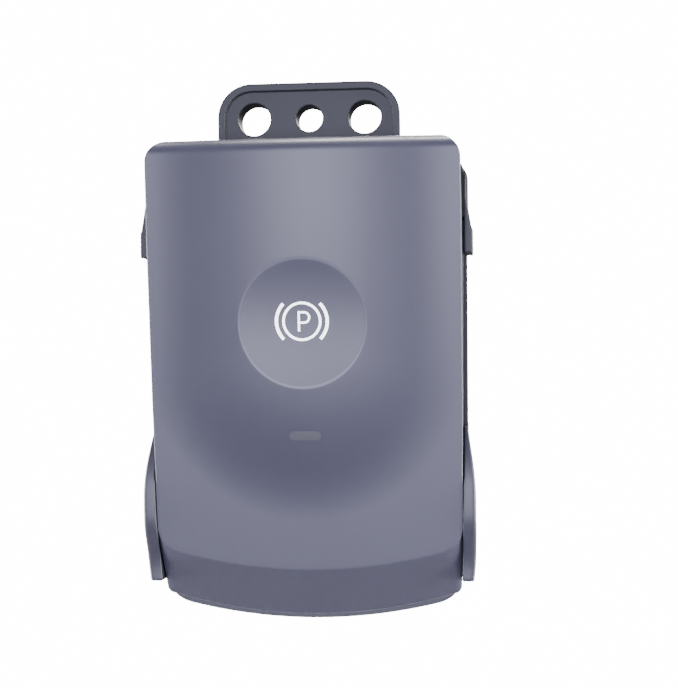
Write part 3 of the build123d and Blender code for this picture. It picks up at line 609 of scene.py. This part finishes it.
def cheek_section(z, inset):
    """Ring of a cheek at a height: inner wall, rounded front, then the outer wall to the back."""
    front = smoothed(z, cheek_fronts) + inset
    height = (Vector((0.0, front, z)) - hinge).dot(paddle_up)
    inner = side_width(height) + cheek_gap + inset
    outer = cheek_wall(front, z) - inset
    inner_end = inner + inner_round_share * (outer - inner)
    outer_end = outer - outer_round_share * (outer - inner)
    quarter = [math.pi / 2 * i / round_steps for i in range(round_steps + 1)]
    ring = [(inner, depth) for depth in inner_wall_depths]
    ring += [
        (inner_end - (inner_end - inner) * math.cos(a),
         front + inner_round_depth * (1 - math.sin(a)))
        for a in quarter
    ]
    ring += [
        (inner_end + (outer_end - inner_end) * i / front_steps, front)
        for i in range(1, front_steps)
    ]
    ring += [
        (outer_end + (outer - outer_end) * math.sin(a),
         front + outer_round_depth * (1 - math.cos(a)))
        for a in quarter
    ]
    wall_front, wall_back = front + outer_round_depth, cheek_back - back_inset
    for i in range(1, wall_steps + 1):
        y = wall_front + (wall_back - wall_front) * i / wall_steps
        # The wall dips into the CAD cheek towards the back, so that the two blend
        ring.append((cheek_wall(y, z) - inset - back_dip * (i / wall_steps) ** 2, y))
    ring.append((inner + back_reach, wall_back))
    return ring


# The CAD cheeks' front points move back inside the new cheeks
cad_slot_gap, slot_tolerance = 0.4, 0.03
cad_cheek_low, cad_cheek_high, cad_back_margin = cheek_bottom - 0.7, cheek_top + 0.1, 0.3
foot_lift, front_setback, wall_setback = 0.2, 1.0, 0.1
housing_mesh = merged_copy("housing")
for point in housing_mesh.verts:
    place = point.co / millimetre
    slot_wall = cad_side_width((place - hinge).dot(paddle_up)) + cad_slot_gap
    on_cheek = abs(place.x) > slot_wall - slot_tolerance and place.y < cheek_back - cad_back_margin
    if on_cheek and cad_cheek_low < place.z < cad_cheek_high:
        x, z = abs(place.x), place.z
        if place.y < cheek_root:
            z = max(z, cheek_bottom + foot_lift)
        y = max(place.y, smoothed(z, cheek_fronts) + front_setback)
        if place.y < cheek_root:
            x = min(x, cheek_wall(y, z) - wall_setback)
        point.co = Vector((math.copysign(x, place.x), y, z)) * millimetre

# Levels of the new cheeks: even steps, then three that round the foot (rise, inset)
cheek_levels, foot_start = 52, 0.3
foot_rounding = ((0.12, 0.05), (0.03, 0.14), (0.0, 0.28))
level_step = (cheek_bottom + foot_start - cheek_top) / cheek_levels
levels = [(cheek_top + level_step * i, 0.0) for i in range(cheek_levels + 1)]
levels += [(cheek_bottom + rise, inset) for rise, inset in foot_rounding]
for side in (-1, 1):
    rings = []
    for z, inset in levels:
        places = [Vector((side * x, y, z)) * millimetre for x, y in cheek_section(z, inset)]
        rings.append([housing_mesh.verts.new(place) for place in places])
    made = [housing_mesh.faces.new(rings[0]), housing_mesh.faces.new(rings[-1])]
    for upper, lower in zip(rings, rings[1:]):
        for i in range(len(upper)):
            k = (i + 1) % len(upper)
            made.append(housing_mesh.faces.new((upper[i], upper[k], lower[k], lower[i])))
    bmesh.ops.recalc_face_normals(housing_mesh, faces=made)

# The spark-eroded grain is about 0.1 mm and is drawn at 0.25 mm, so that it shows
housing_abs = moulded_plastic(
    "spark_eroded_abs", "#16161d", "#1a1a22", 0.6, 0.25, 0.012, edge_mm=0.4,
)
housing = finished_copy(
    housing_mesh, "grained_housing", housing_abs, "housing", "housing",
)
housing.data.materials.append(
    moulded_plastic("lighter_front_abs", "#2b2a36", "#2f2e3a", 0.46, 0.2, 0.004, edge_mm=0.15)
)
# Only the cheeks' faces that look forward are lighter and glossier; the margins are in millimetres
lighter_front_margin, lighter_front_inner, lighter_front_facing = 0.1, 24.4, -0.4
for face in housing.data.polygons:
    place = face.center / millimetre
    level_with = cheek_bottom - lighter_front_margin < place.z < cheek_top + lighter_front_margin
    in_front = place.y < cheek_root and face.normal.y < lighter_front_facing
    if level_with and in_front and abs(place.x) > lighter_front_inner:
        face.material_index = 1

# Rubber stops: domed buttons of black moulded rubber, pressed on posts of the housing. They end
# the paddle's travel. The rubber is fully matt.
stop_rubber = moulded_plastic("moulded_rubber", "#1c1c1c", "#242424", 0.8, 0.3, 0.010)
wear("push_stops", stop_rubber)
wear("pull_stops", stop_rubber)

# Circuit board: glass epoxy under a green solder mask, half glossy, with its parts soldered on:
# lamps in cream resin, a chip in black epoxy and resistors with a dark glaze.
solder_mask = moulded_plastic(
    "green_solder_mask", "#0f4a2c", "#15573a", 0.35, 0.6, 0.002, edge_mm=0.05,
)
lamp_resin = moulded_plastic(
    "cream_lamp_resin", "#ece9dc", "#f4f1e6", 0.3, 0.4, 0.002, edge_mm=0.1,
)
chip_epoxy = moulded_plastic("chip_epoxy", "#17181a", "#1f2022", 0.6, 0.1, 0.005, edge_mm=0.1)
resistor_glaze = moulded_plastic(
    "resistor_glaze", "#151515", "#1d1d1d", 0.3, 0.2, 0.002, edge_mm=0.05,
)
wear("circuit_board", solder_mask)
wear("symbol_led", lamp_resin)
wear("window_led", lamp_resin)
wear("control_chip", chip_epoxy)
wear("resistors", resistor_glaze)

# Push and pull switches: moulded nylon cases, soldered to the board, each with a plunger of red
# acetal that slides in it. The cases are half matt, the plungers half glossy.
switch_nylon = moulded_plastic(
    "switch_nylon", "#232326", "#2a2a2e", 0.5, 0.2, 0.006, edge_mm=0.15,
)
red_acetal = moulded_plastic("red_acetal", "#a02a20", "#ab3026", 0.35, 0.3, 0.003, edge_mm=0.1)
wear("push_switch", switch_nylon)
wear("pull_switch", switch_nylon)
wear("push_plunger", red_acetal)
wear("pull_plunger", red_acetal)

# Rear cover: black glass-filled PBT with the plug socket moulded on, screwed to the housing. The
# glass fibres give the skin a faint coarse mottle.
wear("rear_cover", moulded_plastic(
    "glass_filled_pbt", "#1d1d20", "#28282d", 0.5, 0.35, 0.010, edge_mm=0.3,
))

# Terminals: tinned brass pins, pressed through the rear cover and soldered to the board. They
# are bright, with the soft gloss of tin.
wear("socket_terminals", bright_metal("tin_plated_brass", "#cbcbc6", "#dcdcd6", 0.25, 0.5))

# Screws: cold headed steel, zinc plated, with pan heads and a cross recess. Four hold the rear
# cover and four the paddle's back plate. One tree makes a screw and sets it at each place, with
# its head's foot at the place and its shank along the tree's -Z before it is tilted.
screw_tree = bpy.data.node_groups.new("pan_head_screws", "GeometryNodeTree")
for label, kind in (
    ("Places", "NodeSocketGeometry"), ("Head Radius", "NodeSocketFloat"),
    ("Head Height", "NodeSocketFloat"), ("Shank Radius", "NodeSocketFloat"),
    ("Length", "NodeSocketFloat"), ("Tilt", "NodeSocketFloat"),
    ("Material", "NodeSocketMaterial"),
):
    screw_tree.interface.new_socket(label, in_out="INPUT", socket_type=kind)
screw_tree.interface.new_socket("Geometry", in_out="OUTPUT", socket_type="NodeSocketGeometry")
given = add_node(screw_tree, "NodeGroupInput").outputs

# Sizes that follow from the given ones: the recess's bars and floor, and the block that cuts
# the head's ball off level at its foot
scaled = {}
for label, size, factor in (
    ("bar_width", "Head Radius", 0.24), ("bar_length", "Head Radius", 1.05),
    ("bar_middle", "Head Height", 0.95), ("block_width", "Head Radius", 3.0),
    ("block_height", "Head Height", 2.0), ("block_middle", "Head Height", -1.0),
    ("shank_middle", "Length", -0.5),
):
    scaled[label] = add_node(screw_tree, "ShaderNodeMath", {
        0: given[size], 1: factor,
    }, operation="MULTIPLY").outputs[0]
along = {}
for label in ("bar_middle", "block_middle", "shank_middle"):
    along[label] = add_node(screw_tree, "ShaderNodeCombineXYZ", {"Z": scaled[label]}).outputs[0]

head_ball = add_node(screw_tree, "GeometryNodeMeshUVSphere", {
    "Segments": 40, "Rings": 20, "Radius": 1.0,
})
head_dome = add_node(screw_tree, "GeometryNodeTransform", {
    "Geometry": head_ball.outputs["Mesh"],
    "Scale": add_node(screw_tree, "ShaderNodeCombineXYZ", {
        "X": given["Head Radius"], "Y": given["Head Radius"], "Z": given["Head Height"],
    }).outputs[0],
})
below_head = add_node(screw_tree, "GeometryNodeMeshCube", {
    "Size": add_node(screw_tree, "ShaderNodeCombineXYZ", {
        "X": scaled["block_width"], "Y": scaled["block_width"], "Z": scaled["block_height"],
    }).outputs[0],
})
below_head_placed = add_node(screw_tree, "GeometryNodeTransform", {
    "Geometry": below_head.outputs["Mesh"], "Translation": along["block_middle"],
})
recess_bars = []
for wide, long in (("bar_width", "bar_length"), ("bar_length", "bar_width")):
    bar = add_node(screw_tree, "GeometryNodeMeshCube", {
        "Size": add_node(screw_tree, "ShaderNodeCombineXYZ", {
            "X": scaled[wide], "Y": scaled[long], "Z": given["Head Height"],
        }).outputs[0],
    })
    recess_bars.append(add_node(screw_tree, "GeometryNodeTransform", {
        "Geometry": bar.outputs["Mesh"], "Translation": along["bar_middle"],
    }).outputs[0])
cutters = add_node(screw_tree, "GeometryNodeMeshBoolean", operation="UNION", solver="EXACT")
for cutter in recess_bars:
    screw_tree.links.new(cutter, cutters.inputs["Mesh 2"])
head = add_node(screw_tree, "GeometryNodeMeshBoolean", {
    "Mesh 1": head_dome.outputs[0],
}, operation="DIFFERENCE", solver="EXACT")
for cutter in (cutters.outputs["Mesh"], below_head_placed.outputs[0]):
    screw_tree.links.new(cutter, head.inputs["Mesh 2"])
shank = add_node(screw_tree, "GeometryNodeMeshCylinder", {
    "Vertices": 24, "Radius": given["Shank Radius"], "Depth": given["Length"],
})
shank_placed = add_node(screw_tree, "GeometryNodeTransform", {
    "Geometry": shank.outputs["Mesh"], "Translation": along["shank_middle"],
})
one_screw = add_node(screw_tree, "GeometryNodeJoinGeometry")
for part_of_screw in (head.outputs["Mesh"], shank_placed.outputs[0]):
    screw_tree.links.new(part_of_screw, one_screw.inputs[0])
turned = add_node(screw_tree, "GeometryNodeTransform", {
    "Geometry": one_screw.outputs[0],
    "Rotation": add_node(screw_tree, "ShaderNodeCombineXYZ", {"X": given["Tilt"]}).outputs[0],
})
spread_out = add_node(screw_tree, "GeometryNodeInstanceOnPoints", {
    "Points": given["Places"], "Instance": turned.outputs[0],
})
real = add_node(screw_tree, "GeometryNodeRealizeInstances", {"Geometry": spread_out.outputs[0]})
plated = add_node(screw_tree, "GeometryNodeSetMaterial", {
    "Geometry": real.outputs[0], "Material": given["Material"],
})
add_node(screw_tree, "NodeGroupOutput", {"Geometry": plated.outputs[0]})


def set_screws(name, places, sizes, material, body, source):
    start_mesh = bpy.data.meshes.new(name + "_places")
    start_mesh.from_pydata([tuple(place) for place in places], [], [])
    maker = bpy.data.objects.new(name + "_maker", start_mesh)
    bpy.context.scene.collection.objects.link(maker)
    modifier = maker.modifiers.new("screws", "NODES")
    modifier.node_group = screw_tree
    values = dict(sizes, Material=material)
    for item in screw_tree.interface.items_tree:
        if item.in_out == "INPUT" and item.name in values:
            modifier[item.identifier] = values[item.name]
    bpy.context.view_layer.update()
    evaluated = maker.evaluated_get(bpy.context.evaluated_depsgraph_get())
    shape = bpy.data.meshes.new_from_object(evaluated)
    shape.name = name
    maker.modifiers.clear()
    bpy.data.objects.remove(maker)
    shape.shade_smooth()
    work = bmesh.new()
    work.from_mesh(shape)
    for edge in work.edges:
        edge.smooth = edge.is_manifold and edge.calc_face_angle(math.pi) < smooth_angle
    work.to_mesh(shape)
    work.free()
    piece = bpy.data.objects.new(name, shape)
    bpy.context.scene.collection.objects.link(piece)
    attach(piece, body)
    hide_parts(source)


zinc_plate = bright_metal("zinc_plated_steel", "#b4b6b8", "#c9cacb", 0.32, 0.8)
cover_low, cover_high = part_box("cover_screws")
cover_head_radius, cover_head_height, cover_shank_radius = 0.0024, 0.0015, 0.0012
cover_head_foot = cover_high[1] - cover_head_height
cover_places = [
    (x, cover_head_foot, z)
    for x in (cover_low[0] + cover_head_radius, cover_high[0] - cover_head_radius)
    for z in (cover_low[2] + cover_head_radius, cover_high[2] - cover_head_radius)
]
set_screws("cover_pan_screws", cover_places, {
    "Head Radius": cover_head_radius, "Head Height": cover_head_height,
    "Shank Radius": cover_shank_radius, "Length": cover_head_foot - cover_low[1],
    "Tilt": -math.pi / 2,
}, zinc_plate, "housing", "cover_screws")
paddle_head_level, paddle_screw_x, paddle_screw_heights = 4.4, 19.0, (39.5, 13.0)
paddle_places = [
    on_paddle(x, height, paddle_head_level)
    for x in (-paddle_screw_x, paddle_screw_x) for height in paddle_screw_heights
]
set_screws("paddle_pan_screws", paddle_places, {
    "Head Radius": 0.002, "Head Height": 0.0012, "Shank Radius": 0.00105, "Length": 0.0056,
    "Tilt": paddle_lean - math.pi / 2,
}, zinc_plate, "paddle", "paddle_screws")
